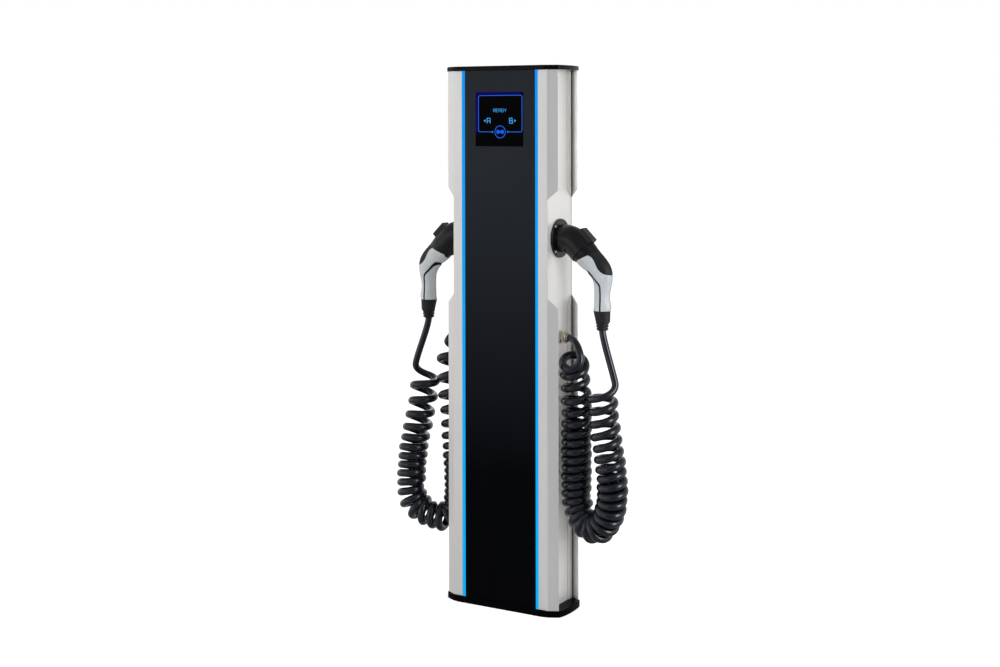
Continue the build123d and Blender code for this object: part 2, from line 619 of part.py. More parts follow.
with BuildPart() as earth_bar:
    block((-50, plate_rear + 10, 204), (50, plate_rear + 18, 216))
    for x in (-42, 42):
        rod((x, plate_rear, 210), (x, plate_rear + 10, 210), 5)
    for index in range(6):
        x = (index - 2.5) * 12
        rod((x, plate_rear + 14, 210), (x, plate_rear + 19, 210), 2.5, Mode.SUBTRACT)
publish(earth_bar.part, "earth_bar")

# ------------------------------------------------------------------ holsters
GASKET = 1
flange_back = SIDE_FACE_X + GASKET
flange_front = flange_back + 4
mouth = Vector(MOUTH[0], 0, MOUTH[1])
outward = Vector(HALF_ROOT, 0, -HALF_ROOT)      # the way the plug leaves the holster
upward = Vector(HALF_ROOT, 0, HALF_ROOT)        # square to it, in the plane of symmetry


def mouth_plane(distance, rise=0):
    """A plane square to the plug's path, a distance out of the mouth and shifted by rise."""
    origin = mouth + outward * distance + upward * rise
    return Plane(origin=origin, x_dir=upward, z_dir=outward)


ELBOW_RADIUS = 37
TAB_RISE, TAB_HEIGHT, TAB_WIDTH, TAB_LENGTH = 30.5, 28, 30, 42      # the block over the latch
bend_start_x = MOUTH[0] - (HOLSTER_Z - MOUTH[1]) - ELBOW_RADIUS * math.tan(math.pi / 8)
with BuildPart() as holster:
    rod((flange_back, 0, HOLSTER_Z), (flange_front, 0, HOLSTER_Z), HOLSTER_FLANGE_RADIUS)
    fillet(holster.faces().sort_by(Axis.X)[-1].edges(), 1.5)
    with BuildLine() as elbow_path:
        straight = Line((flange_back, 0, HOLSTER_Z), (bend_start_x, 0, HOLSTER_Z))
        bend = ThreePointArc(
            (bend_start_x, 0, HOLSTER_Z),
            (bend_start_x + ELBOW_RADIUS * math.sin(math.pi / 8), 0,
             HOLSTER_Z - ELBOW_RADIUS * (1 - math.cos(math.pi / 8))),
            (bend_start_x + ELBOW_RADIUS * HALF_ROOT, 0, HOLSTER_Z - ELBOW_RADIUS * (1 - HALF_ROOT)))
        Line(bend @ 1, tuple(mouth))
    with BuildSketch(Plane(origin=(flange_back, 0, HOLSTER_Z), z_dir=(1, 0, 0))):
        Circle(HOLSTER_TUBE_RADIUS)
    sweep(path=elbow_path.line)
    with BuildSketch(mouth_plane(0, rise=TAB_RISE)):
        RectangleRounded(TAB_HEIGHT, TAB_WIDTH, 2)
    extrude(amount=-TAB_LENGTH)
    with BuildSketch(mouth_plane(0)):
        Circle(HOLSTER_BORE_RADIUS)
    extrude(amount=-BORE_DEPTH, mode=Mode.SUBTRACT)
    for y, z in holster_screw_places:
        rod((flange_back - 1, y, HOLSTER_Z + z), (flange_front + 1, y, HOLSTER_Z + z), 2.6, Mode.SUBTRACT)
publish(holster.part, "right_holster")
publish(mirrored(holster.part), "left_holster")

with BuildPart() as holster_gaskets:
    rod((SIDE_FACE_X, 0, HOLSTER_Z), (flange_back, 0, HOLSTER_Z), HOLSTER_FLANGE_RADIUS - 1)
    rod((SIDE_FACE_X, 0, HOLSTER_Z), (flange_back, 0, HOLSTER_Z), 30, Mode.SUBTRACT)
    for y, z in holster_screw_places:
        rod((SIDE_FACE_X - 1, y, HOLSTER_Z + z), (flange_back + 1, y, HOLSTER_Z + z), 2.6, Mode.SUBTRACT)
    mirror(about=Plane.YZ)
publish(holster_gaskets.part, "holster_gaskets")

with BuildPart() as holster_screws:
    for y, z in holster_screw_places:
        pan_screw((flange_front, y, HOLSTER_Z + z), (-1, 0, 0), 2.45, 14, 4.4, 3)
    mirror(about=Plane.YZ)
publish(holster_screws.part, "holster_screws")

# ------------------------------------------------------------------ cable glands
with BuildPart() as cable_glands:
    rod((128, 0, GLAND_Z), (SIDE_FACE_X, 0, GLAND_Z), 12.5)
    hex_rod((SIDE_FACE_X, 0, GLAND_Z), (147, 0, GLAND_Z), 29)
    rod((147, 0, GLAND_Z), (152, 0, GLAND_Z), 12.6)
    hex_rod((152, 0, GLAND_Z), (161, 0, GLAND_Z), 27)
    with BuildSketch(Plane(origin=(161, 0, GLAND_Z), z_dir=(1, 0, 0))):
        Circle(13)
    with BuildSketch(Plane(origin=(166, 0, GLAND_Z), z_dir=(1, 0, 0))):
        Circle(CABLE_RADIUS + 2)
    loft()
    rod((127, 0, GLAND_Z), (167, 0, GLAND_Z), CABLE_RADIUS + 0.3, Mode.SUBTRACT)
    mirror(about=Plane.YZ)
publish(cable_glands.part, "cable_glands")

with BuildPart() as gland_locknuts:
    hex_rod((131, 0, GLAND_Z), (SIDE_FACE_X - SIDE_SHEET, 0, GLAND_Z), 32)
    rod((130, 0, GLAND_Z), (138, 0, GLAND_Z), 12.5 + FIT_GAP, Mode.SUBTRACT)
    mirror(about=Plane.YZ)
publish(gland_locknuts.part, "gland_locknuts")

# ------------------------------------------------------------------ plugs
# Sections of the handle: plane, half size in the plane of symmetry, half size across it.
bend_down = Vector(math.sin(math.radians(22.5)), 0, -math.cos(math.radians(22.5)))
down = Vector(0, 0, -1)
across = Vector(1, 0, 0)
GRIP_END_Z = 777              # where the grip ends and the boot begins
bend_across = Vector(math.cos(math.radians(22.5)), 0, math.sin(math.radians(22.5)))


def handle_sections(shrink):
    """The handle's cross-sections from the mouth to the grip's end, made smaller by shrink."""
    places = [
        (mouth_plane(0.5, 1.2), 34.4, 31.2),
        (mouth_plane(12, 1.6), 33.8, 29.4),
        (mouth_plane(27, 2), 32, 27),
        (Plane(origin=(263.2, 0, 861.5), x_dir=bend_across, z_dir=bend_down), 28, 22.5),
        (Plane(origin=(262.2, 0, 828), x_dir=across, z_dir=down), 21.6, 19),
        (Plane(origin=(261.8, 0, 800), x_dir=across, z_dir=down), 21.4, 19),
        (Plane(origin=(260.6, 0, GRIP_END_Z), x_dir=across, z_dir=down), 22.8, 20),
    ]
    return [(plane, half - shrink, half_across - shrink) for plane, half, half_across in places]


def handle_body(shrink):
    """One smooth solid through the handle's cross-sections."""
    with BuildPart() as body:
        for plane, half, half_across in handle_sections(shrink):
            with BuildSketch(plane):
                Ellipse(half, half_across)
        loft()
    return body.part


SKIN_DEPTH = 1.8              # thickness of the grip shells and the top cover
COLLAR_EDGE = [(180, 892.2), (215, 908.95), (250, 925.7)]      # slanted end of the black collar
COVER_EDGE = [(221, 914.5), (236, 916.5), (248.6, 905.5), (259, 886), (269.4, 875), (280, 870), (300, 868)]
SEAM_OUTER = [(200, 874), (214, 876.5), (227, 879.5), (238, 873), (252, 858), (264, 845.5), (266.6, 840)]
SEAM_INNER = [(212, 862), (228, 870.5), (235, 867), (248, 854.5), (259.5, 842.5), (261.6, 837.5)]


def side_view_prism(upper_corners, curve_points):
    """A plate wide enough to cut the whole handle, outlined by corners and one smooth curve."""
    with BuildPart() as prism:
        with BuildSketch(Plane.XZ):
            with BuildLine():
                Polyline(curve_points[-1], *upper_corners, curve_points[0])
                Spline(*curve_points)
            make_face()
        extrude(amount=60, both=True)
    return prism.part


handle_outer = handle_body(0)
handle_inner = handle_body(SKIN_DEPTH)
skin = handle_outer - handle_inner
collar_zone = side_view_prism([(250, 1040), (100, 1040), (100, 892.2)], COLLAR_EDGE)
cover_zone = side_view_prism([(340, 868), (340, 1040), (226, 1040)], COVER_EDGE)
shell_zone = side_view_prism([(266.6, 700), (340, 700), (340, 1040), (200, 1040)], SEAM_OUTER)
palm_zone = side_view_prism([(261.6, 700), (180, 700), (180, 862)], SEAM_INNER)

collar = handle_outer & collar_zone
grip_skin = skin - collar_zone
cover = grip_skin & cover_zone
side_shells = (grip_skin & shell_zone) - cover_zone
palm_inserts = grip_skin & palm_zone
core = handle_inner - collar_zone

with BuildPart() as plug_nose:
    add(collar)
    add(core)
    with BuildSketch(mouth_plane(6)):
        Circle(HOLSTER_BORE_RADIUS - FIT_GAP)
    extrude(amount=-52)
    nose_faces = plug_nose.faces().filter_by(GeomType.PLANE)
    fillet(nose_faces.sort_by(Axis((0, 0, 0), tuple(outward)))[0].edges(), 2)
    with BuildSketch(mouth_plane(-46)):
        Circle(24)
    extrude(amount=22, mode=Mode.SUBTRACT)
    with BuildSketch(mouth_plane(-46)):
        with PolarLocations(15, 5):
            Circle(4.4)
        Circle(4.4)
    extrude(amount=26)
    with BuildSketch(mouth_plane(-46)):
        with PolarLocations(15, 5):
            Circle(3)
        Circle(3)
    extrude(amount=30, mode=Mode.SUBTRACT)
publish(plug_nose.part, "right_plug_nose")
publish(mirrored(plug_nose.part), "left_plug_nose")

with BuildPart() as plug_contacts:
    with BuildSketch(mouth_plane(-42)):
        with PolarLocations(15, 5):
            Circle(3)
        Circle(3)
        with PolarLocations(15, 5):
            Circle(2, mode=Mode.SUBTRACT)
        Circle(2, mode=Mode.SUBTRACT)
    extrude(amount=25)
publish(plug_contacts.part, "right_plug_contacts")
publish(mirrored(plug_contacts.part), "left_plug_contacts")

with BuildPart() as shell_halves:
    add(side_shells)
    add(palm_inserts)
    block((180, -0.9, 740), (300, 0.9, 960), Mode.SUBTRACT)
publish(shell_halves.part, "right_plug_shells")
publish(mirrored(shell_halves.part), "left_plug_shells")

publish(Part(cover.wrapped), "right_plug_cover")
publish(mirrored(cover), "left_plug_cover")

BOOT_WAIST_Z = 748
BOOT_RIBS = 3
RIB_PITCH = 7
with BuildPart() as plug_boot:
    with BuildSketch(Plane(origin=(260.6, 0, GRIP_END_Z), x_dir=across, z_dir=down)):
        Ellipse(22.4, 19.6)
    with BuildSketch(Plane(origin=(263.5, 0, BOOT_WAIST_Z), x_dir=across, z_dir=down)):
        Ellipse(18.5, 17)
    loft()
    for index in range(BOOT_RIBS):
        z = BOOT_WAIST_Z - index * RIB_PITCH
        radius = 16.6 - index * 0.8
        rod((PLUG_TAIL[0], 0, z), (PLUG_TAIL[0], 0, z - RIB_PITCH), radius - 2.6)
        rod((PLUG_TAIL[0], 0, z - 1.2), (PLUG_TAIL[0], 0, z - 5), radius)
    rod((PLUG_TAIL[0], 0, 726), (PLUG_TAIL[0], 0, 770), CABLE_RADIUS + FIT_GAP, Mode.SUBTRACT)
publish(plug_boot.part, "right_plug_boot")
publish(mirrored(plug_boot.part), "left_plug_boot")

# ------------------------------------------------------------------ coiled cables, each as the space it fills
COIL_START_Z = 640
COIL_END_Z = 545
TAIL_X = PLUG_TAIL[0]
RIGHT_COIL = [      # centre line of the hanging coil, from the gland side round to the plug side
    (190, 0, COIL_START_Z), (190, 0, 560), (189, 0, 440), (187, 0, 320), (192, -2, 268), (217, -8, 232),
    (252, -15, 226), (285, -20, 256), (301, -21, 318), (286, -16, 430), (266, -8, COIL_END_Z)]
LEFT_COIL = [
    (190, 0, COIL_START_Z), (189, 0, 560), (186, 2, 440), (184, 4, 320), (186, 2, 252), (204, -4, 208),
    (240, -11, 200), (280, -18, 232), (302, -21, 310), (287, -16, 430), (266, -8, COIL_END_Z)]


def coiled_cable(centre_line):
    """The hanging U of a coiled cable with its two straight tails, on the right side of the post."""
    coil_start, coil_end = centre_line[0], centre_line[-1]
    with BuildPart() as cable:
        with BuildLine():
            Spline(*centre_line, tangents=((0, 0, -1), (-0.2, 0.05, 1)))
        with BuildSketch(Plane(origin=coil_start, z_dir=(0, 0, -1))):
            Circle(COIL_RADIUS)
        sweep()
        rod((129, 0, GLAND_Z), (168, 0, GLAND_Z), CABLE_RADIUS)
        with BuildLine():
            Spline((168, 0, GLAND_Z), (184, 0, 693), (coil_start[0], 0, COIL_START_Z - 2),
                   tangents=((1, 0, 0), (0, 0, -1)))
        with BuildSketch(Plane(origin=(168, 0, GLAND_Z), z_dir=(1, 0, 0))):
            Circle(CABLE_RADIUS)
        sweep()
        rod((TAIL_X, 0, PLUG_TAIL[1]), (TAIL_X, 0, 768), CABLE_RADIUS)
        with BuildLine():
            Spline((TAIL_X, 0, PLUG_TAIL[1]), (coil_end[0] + 26, -6, 612),
                   (coil_end[0], coil_end[1], COIL_END_Z - 2), tangents=((0, 0, -1), (-0.7, 0, -1)))
        with BuildSketch(Plane(origin=(TAIL_X, 0, PLUG_TAIL[1]), z_dir=(0, 0, -1))):
            Circle(CABLE_RADIUS)
        sweep()
    return cable.part


publish(coiled_cable(RIGHT_COIL), "right_cable")
publish(mirrored(coiled_cable(LEFT_COIL)), "left_cable")
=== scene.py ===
import json
import math

import bpy
import numpy as np
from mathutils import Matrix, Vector


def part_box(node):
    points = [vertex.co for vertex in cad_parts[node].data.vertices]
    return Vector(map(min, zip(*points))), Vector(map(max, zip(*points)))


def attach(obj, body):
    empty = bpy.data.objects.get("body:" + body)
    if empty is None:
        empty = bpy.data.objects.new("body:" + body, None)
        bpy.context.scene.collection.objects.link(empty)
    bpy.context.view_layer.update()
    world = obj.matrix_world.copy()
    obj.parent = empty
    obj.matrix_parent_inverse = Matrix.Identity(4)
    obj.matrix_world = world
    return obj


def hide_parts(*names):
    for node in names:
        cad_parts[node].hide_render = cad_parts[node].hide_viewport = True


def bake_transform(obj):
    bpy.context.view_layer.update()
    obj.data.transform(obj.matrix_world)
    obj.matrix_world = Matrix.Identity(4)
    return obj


# EV charging post: looks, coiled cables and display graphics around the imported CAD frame.
# Metres and radians.  Front towards -Y, outlet B towards +X, +Z up.

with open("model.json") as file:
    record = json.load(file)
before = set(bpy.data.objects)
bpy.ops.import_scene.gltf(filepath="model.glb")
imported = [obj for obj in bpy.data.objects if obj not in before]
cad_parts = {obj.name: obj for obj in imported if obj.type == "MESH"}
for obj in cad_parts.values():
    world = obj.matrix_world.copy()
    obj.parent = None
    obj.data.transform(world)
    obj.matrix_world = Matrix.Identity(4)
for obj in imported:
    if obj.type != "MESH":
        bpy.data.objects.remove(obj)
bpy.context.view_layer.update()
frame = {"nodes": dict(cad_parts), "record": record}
MM = 0.001


# ------------------------------------------------------------------ shader helpers
class Shader:
    """A principled material under construction, with short calls for adding and linking nodes."""

    def __init__(self, name):
        self.material = bpy.data.materials.new(name)
        self.material.use_nodes = True
        self.tree = self.material.node_tree
        self.bsdf = self.tree.nodes["Principled BSDF"]
        self.place = self.add("ShaderNodeTexCoord").outputs["Object"]

    def add(self, kind, **settings):
        node = self.tree.nodes.new(kind)
        for key, value in settings.items():
            setattr(node, key, value)
        return node

    def link(self, source, target):
        self.tree.links.new(source, target)

    def put(self, socket, value):
        """Link a node's output to a socket, or set the socket to a plain value."""
        if isinstance(value, bpy.types.NodeSocket):
            self.link(value, socket)
        else:
            socket.default_value = value

    def math(self, operation, a, b=0.0, c=0.0):
        node = self.add("ShaderNodeMath", operation=operation)
        for socket, value in zip(node.inputs, (a, b, c)):
            self.put(socket, value)
        return node.outputs[0]

    def scaled(self, stretch):
        """Object coordinates multiplied per axis."""
        node = self.add("ShaderNodeMapping")
        self.link(self.place, node.inputs["Vector"])
        node.inputs["Scale"].default_value = stretch
        return node.outputs["Vector"]

    def noise(self, stretch, detail=3.0, rough=0.55):
        node = self.add("ShaderNodeTexNoise")
        self.link(self.scaled(stretch), node.inputs["Vector"])
        node.inputs["Scale"].default_value = 1.0
        node.inputs["Detail"].default_value = detail
        node.inputs["Roughness"].default_value = rough
        return node.outputs["Fac"]

    def cells(self, stretch, feature="F1"):
        node = self.add("ShaderNodeTexVoronoi", feature=feature)
        self.link(self.scaled(stretch), node.inputs["Vector"])
        node.inputs["Scale"].default_value = 1.0
        return node.outputs["Distance"]

    def spread(self, value, low, high, from_low=0.3, from_high=0.7):
        """Map a value from one range to another, clamped."""
        node = self.add("ShaderNodeMapRange")
        self.put(node.inputs["Value"], value)
        node.inputs["From Min"].default_value = from_low
        node.inputs["From Max"].default_value = from_high
        node.inputs["To Min"].default_value = low
        node.inputs["To Max"].default_value = high
        return node.outputs["Result"]

    def mix(self, share, first, second):
        node = self.add("ShaderNodeMix", data_type="RGBA")
        self.put(node.inputs["Factor"], share)
        self.put(node.inputs["A"], first if not isinstance(first, tuple) else rgba(first))
        self.put(node.inputs["B"], second if not isinstance(second, tuple) else rgba(second))
        return node.outputs["Result"]

    def axis(self, name):
        """One object coordinate, in metres."""
        node = self.add("ShaderNodeSeparateXYZ")
        self.link(self.place, node.inputs[0])
        return node.outputs[name]

    def edges(self, radius):
        """Near 1 on outside and inside edges, near 0 on flat stretches."""
        bevel = self.add("ShaderNodeBevel", samples=4)
        bevel.inputs["Radius"].default_value = radius
        plain = self.add("ShaderNodeNewGeometry")
        dot = self.add("ShaderNodeVectorMath", operation="DOT_PRODUCT")
        self.link(bevel.outputs["Normal"], dot.inputs[0])
        self.link(plain.outputs["Normal"], dot.inputs[1])
        return self.spread(dot.outputs["Value"], 1.0, 0.0, 0.86, 0.995)

    def recess(self, reach):
        """Near 1 in open air, falling towards 0 deep in grooves and corners."""
        node = self.add("ShaderNodeAmbientOcclusion", samples=6)
        node.inputs["Distance"].default_value = reach
        return node.outputs["AO"]

    def relief(self, height, depth, radius=0.0):
        """Bump from a height, with rounded shading on hard edges when a radius is given."""
        bump = self.add("ShaderNodeBump")
        bump.inputs["Distance"].default_value = depth
        self.link(height, bump.inputs["Height"])
        if radius:
            bevel = self.add("ShaderNodeBevel", samples=4)
            bevel.inputs["Radius"].default_value = radius
            self.link(bevel.outputs["Normal"], bump.inputs["Normal"])
        self.link(bump.outputs["Normal"], self.bsdf.inputs["Normal"])

    def finish(self, **inputs):
        for name, value in inputs.items():
            socket = self.bsdf.inputs[name.replace("_", " ")]
            self.put(socket, rgba(value) if isinstance(value, tuple) else value)
        return self.material


def rgba(colour):
    return (*colour, 1.0) if len(colour) == 3 else colour


def tinted(colour, factor):
    return tuple(min(1.0, channel * factor) for channel in colour)


# ------------------------------------------------------------------ materials
def brushed_metal(name, colour, roughness, stretch, metallic=1.0, painted_shade_colour=None):
    """Drawn or rolled metal: fine streaks, soft cloudy tone, brighter worn edges, and painted shade darkening
    its grooves when a shade colour is given.
    """
    s = Shader(name)
    streaks = s.noise(stretch, detail=4.0)
    clouds = s.noise((9, 9, 2.2), detail=2.0)
    base = s.mix(s.spread(clouds, 0.0, 1.0), tinted(colour, 0.95), tinted(colour, 1.04))
    base = s.mix(s.spread(streaks, 0.0, 0.35), base, tinted(colour, 0.86))
    base = s.mix(s.math("MULTIPLY", s.edges(0.0007), 0.35), base, tinted(colour, 1.12))
    # Painted shade: the colour darkens towards the shade colour in grooves and corners that ambient occlusion
    # finds.
    if painted_shade_colour:
        unshaded = s.spread(s.recess(0.012), 0.0, 1.0, 0.15, 0.62)
        base = s.mix(unshaded, painted_shade_colour, base)
    s.relief(streaks, 0.00004, radius=0.0005)
    rough = s.spread(streaks, roughness - 0.05, roughness + 0.07)
    return s.finish(Base_Color=base, Roughness=rough, Metallic=metallic)


def powder_coat(name, colour, roughness, grain=1400, depth=0.00008):
    """Satin powder coat: fine orange peel, faint dust, polished edges, a cool specular tint, and a painted
    reflection whose strength fades downwards.
    """
    s = Shader(name)
    peel = s.noise((grain, grain, grain), detail=2.0)
    dust = s.noise((14, 14, 5), detail=5.0, rough=0.65)
    base = s.mix(s.spread(dust, 0.0, 0.5, 0.45, 0.8), colour, tinted(colour, 2.0))
    base = s.mix(s.math("MULTIPLY", s.edges(0.0008), 0.3), base, tinted(colour, 9.0))
    s.relief(peel, depth, radius=0.0006)
    rough = s.spread(dust, roughness - 0.04, roughness + 0.08)
    # Painted reflection: the specular strength rises with height, so the coat shines more towards the top.
    return s.finish(
        Base_Color=base, Roughness=rough, Specular_Tint=(0.70, 0.82, 1.0),
        Specular_IOR_Level=s.spread(s.axis("Z"), 0.02, 0.42, 0.35, 1.12))


def moulded_plastic(name, colour, roughness, grain=900, depth=0.00006, wear=2.2, shine=0.5):
    """Injection-moulded plastic: spark-eroded grain, slight tone drift, rubbed edges."""
    s = Shader(name)
    grain_noise = s.noise((grain, grain, grain), detail=3.0)
    drift = s.noise((28, 28, 28), detail=3.0)
    base = s.mix(s.spread(drift, 0.0, 1.0), tinted(colour, 0.88), tinted(colour, 1.1))
    base = s.mix(s.math("MULTIPLY", s.edges(0.0006), 0.28), base, tinted(colour, wear))
    s.relief(grain_noise, depth, radius=0.0005)
    rough = s.spread(drift, roughness - 0.05, roughness + 0.06)
    return s.finish(Base_Color=base, Roughness=rough, Specular_IOR_Level=shine)


def cross_grip_plastic(name, colour):
    """Soft grip plastic with a fine raised lattice."""
    s = Shader(name)
    pits = s.cells((620, 620, 620))
    drift = s.noise((35, 35, 35))
    base = s.mix(s.spread(drift, 0.0, 1.0), tinted(colour, 0.85), tinted(colour, 1.2))
    s.relief(pits, 0.00022, radius=0.0005)
    return s.finish(Base_Color=base, Roughness=s.spread(pits, 0.42, 0.62, 0.1, 0.8))


def dotted_grip(name, colour, roughness, dots_from):
    """Light grip moulding: fine grain, with rows of small dark pips above a height."""
    s = Shader(name)
    pips = s.cells((560, 560, 560))
    drift = s.noise((28, 28, 28), detail=3.0)
    above = s.spread(s.axis("Z"), 0.0, 0.55, dots_from, dots_from + 0.03)
    base = s.mix(s.spread(drift, 0.0, 1.0), tinted(colour, 0.92), tinted(colour, 1.06))
    base = s.mix(s.math("MULTIPLY", s.spread(pips, 1.0, 0.0, 0.22, 0.34), above), base, tinted(colour, 0.4))
    base = s.mix(s.math("MULTIPLY", s.edges(0.0006), 0.28), base, tinted(colour, 1.2))
    s.relief(s.noise((700, 700, 700)), 0.00006, radius=0.0005)
    return s.finish(Base_Color=base, Roughness=s.spread(drift, roughness - 0.05, roughness + 0.06))


def rubber(name, colour, roughness, coat=0.0):
    """Cable jacket and seals: smooth skin with faint drawn lines and dusty patches."""
    s = Shader(name)
    skin = s.noise((260, 260, 260), detail=4.0)
    patches = s.noise((42, 42, 42), detail=4.0, rough=0.6)
    base = s.mix(s.spread(patches, 0.0, 1.0, 0.4, 0.75), colour, tinted(colour, 1.7))
    s.relief(skin, 0.00006)
    rough = s.spread(patches, roughness - 0.05, roughness + 0.09)
    return s.finish(
        Base_Color=base, Roughness=rough, Specular_Tint=(0.86, 0.93, 1.0), Coat_Weight=coat,
        Coat_Roughness=0.16)


def lit_diffuser(name, low_colour, high_colour, strength):
    """Opal bar lit from behind, greener at its foot and a little brighter over each light chip."""
    s = Shader(name)
    chips = s.math("SINE", s.math("MULTIPLY", s.axis("Z"), 2 * math.pi / 0.04))
    cloud = s.noise((60, 60, 6))
    glow = s.math("ADD", s.math("MULTIPLY", chips, 0.015), s.spread(cloud, 0.97, 1.03))
    colour = s.mix(s.spread(s.axis("Z"), 0.0, 1.0, 0.1, 1.3), low_colour, high_colour)
    s.relief(s.noise((900, 900, 900)), 0.00003)
    return s.finish(
        Base_Color=(0.0, 0.006, 0.02), Roughness=0.45, Specular_IOR_Level=0.08, Emission_Color=colour,
        Emission_Strength=s.math("MULTIPLY", glow, strength))


def display_glass(name, low, high):
    """Black printed glass with a dim indigo bleed along its left and top edges."""
    s = Shader(name)
    from_left = s.spread(s.axis("X"), 1.0, 0.0, low.x, low.x + 0.011)
    from_top = s.spread(s.axis("Z"), 0.0, 1.0, high.z - 0.010, high.z)
    above = s.spread(s.axis("Z"), 0.0, 1.0, low.z + 0.030, low.z + 0.040)
    inside = s.spread(s.axis("X"), 1.0, 0.0, high.x - 0.012, high.x - 0.002)
    bleed = s.math("MAXIMUM", s.math("MULTIPLY", from_left, above), s.math("MULTIPLY", from_top, inside))
    smudge = s.noise((30, 30, 12), detail=5.0, rough=0.7)
    base = s.mix(s.spread(smudge, 0.0, 0.6, 0.5, 0.8), (0.0006, 0.0006, 0.001), (0.0018, 0.0018, 0.003))
    s.relief(smudge, 0.00001)
    return s.finish(
        Base_Color=base, Roughness=s.spread(smudge, 0.05, 0.16), Specular_IOR_Level=0.02,
        Emission_Color=(0.018, 0.004, 0.36), Emission_Strength=s.math("MULTIPLY", bleed, 0.36))


def lit_print(name, colour, strength):
    """Glowing print behind the glass, with a slightly uneven backlight."""
    s = Shader(name)
    cloud = s.noise((90, 90, 90))
    return s.finish(
        Base_Color=(0.0, 0.0, 0.01), Roughness=0.3, Specular_IOR_Level=0.05, Emission_Color=colour,
        Emission_Strength=s.spread(cloud, strength * 0.9, strength * 1.08))


def circuit_board(name):
    """Green solder mask with a fine trace pattern."""
    s = Shader(name)
    traces = s.cells((180, 180, 180), "DISTANCE_TO_EDGE")
    base = s.mix(s.spread(traces, 1.0, 0.0, 0.02, 0.06), (0.01, 0.10, 0.04), (0.05, 0.26, 0.10))
    s.relief(traces, 0.0001)
    return s.finish(Base_Color=base, Roughness=0.35)


ALUMINIUM = (0.79, 0.78, 0.765)
# Brownish colour of the painted shade in the extrusion's grooves and corners.
PAINTED_GROOVE_SHADE = (0.26, 0.225, 0.19)
BLACK = (0.0016, 0.0017, 0.0023)
LIGHT_BLUE_FOOT = (0.0, 0.46, 1.0)
LIGHT_BLUE_HEAD = (0.0, 0.33, 0.98)

glass_low, glass_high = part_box("display_window")

slot_materials = {
    "black_coat": powder_coat("BlackPowderCoat", BLACK, 0.30),
    "anodised": brushed_metal(
        "AnodisedExtrusion", ALUMINIUM, 0.33, (1500, 1500, 9), metallic=0.5, painted_shade_colour=PAINTED_GROOVE_SHADE),
    "side_sheet": brushed_metal("AnodisedSheet", (0.88, 0.87, 0.845), 0.34, (1300, 1300, 7), metallic=0.5),
    "gloss_black": moulded_plastic(
        "GlossBlackCap", (0.0015, 0.0015, 0.002), 0.14, grain=300, depth=0.00002, shine=0.12),
    "opal_blue": lit_diffuser("BlueLightBar", LIGHT_BLUE_FOOT, LIGHT_BLUE_HEAD, 0.95),
    "light_board": moulded_plastic("WhiteLightBoard", (0.7, 0.72, 0.74), 0.5),
    "display_glass": display_glass("DisplayGlass", glass_low, glass_high),
    "black_plastic": moulded_plastic("BlackMoulding", (0.0026, 0.0028, 0.0036), 0.28, wear=6.0, shine=0.42),
    "grey_plastic": dotted_grip("GreyGripShell", (0.56, 0.595, 0.625), 0.34, 0.82),
    "circuit_board": circuit_board("CircuitBoard"),
    "zinc_steel": brushed_metal("ZincSteel", (0.60, 0.61, 0.63), 0.38, (240, 240, 240)),
    "stainless": brushed_metal("Stainless", (0.72, 0.715, 0.70), 0.22, (500, 500, 500)),
    "nickel": brushed_metal("NickelBrass", (0.66, 0.60, 0.50), 0.2, (700, 700, 700)),
    "brass": brushed_metal("PlainBrass", (0.72, 0.50, 0.22), 0.28, (600, 600, 600)),
    "seal_rubber": rubber("SealRubber", (0.008, 0.008, 0.009), 0.55),
    "cable_jacket": rubber("CableJacket", (0.0034, 0.0040, 0.0064), 0.24, coat=0.5),
    "device_grey": moulded_plastic("DeviceGrey", (0.52, 0.53, 0.53), 0.5, wear=1.2),
    "toggle_blue": moulded_plastic("ToggleBlue", (0.02, 0.05, 0.16), 0.4),
}
cover_material = cross_grip_plastic("CoverGrip", (0.0042, 0.0044, 0.0052))

slot_of_node = {entry["node"]: entry["material_slot"] for entry in frame["record"]["subparts"]}
for node_name, node in frame["nodes"].items():
    material = slot_materials[slot_of_node[node_name]]
    if node_name.endswith("_plug_cover"):
        material = cover_material
    node.data.materials.clear()
    node.data.materials.append(material)


# ------------------------------------------------------------------ mesh helpers
def new_piece(name, verts, faces, material, body, smooth=True):
    """A mesh object from plain lists, riding on one body unless body is None."""
    mesh = bpy.data.meshes.new(name)
    mesh.from_pydata([tuple(v) for v in verts], [], faces)
    mesh.validate()
    mesh.update()
    for polygon in mesh.polygons:
        polygon.use_smooth = smooth
    piece = bpy.data.objects.new(name, mesh)
    bpy.context.scene.collection.objects.link(piece)
    piece.data.materials.append(material)
    if body:
        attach(piece, body)
    return piece


def unit(vector):
    return vector / np.linalg.norm(vector)


def carried_frames(points, first_side):
    """Tangents and two side vectors along a path, turned as little as possible from point to point."""
    tangents = np.gradient(points, axis=0)
    tangents /= np.linalg.norm(tangents, axis=1)[:, None]
    sides = []
    side = np.array(first_side, float)
    for tangent in tangents:
        side = unit(side - tangent * side.dot(tangent))
        sides.append(side)
    sides = np.array(sides)
    return tangents, sides, np.cross(tangents, sides)


def tube(name, points, radii, material, body, sides=18):
    """A closed round tube through a row of points, with one radius per point."""
    first = unit(np.cross(points[1] - points[0], (0.3, 0.9, 0.2)))
    _, right, up = carried_frames(points, first)
    angles = np.arange(sides) * 2 * math.pi / sides
    ring = np.cos(angles)[None, :, None] * right[:, None] + np.sin(angles)[None, :, None] * up[:, None]
    verts = (points[:, None] + ring * radii[:, None, None]).reshape(-1, 3)
    faces = []
    for row in range(len(points) - 1):
        for column in range(sides):
            after = (column + 1) % sides
            low, high = row * sides, (row + 1) * sides
            faces.append((low + column, low + after, high + after, high + column))
    faces.append(tuple(range(sides - 1, -1, -1)))
    faces.append(tuple((len(points) - 1) * sides + column for column in range(sides)))
    return new_piece(name, verts, faces, material, body)


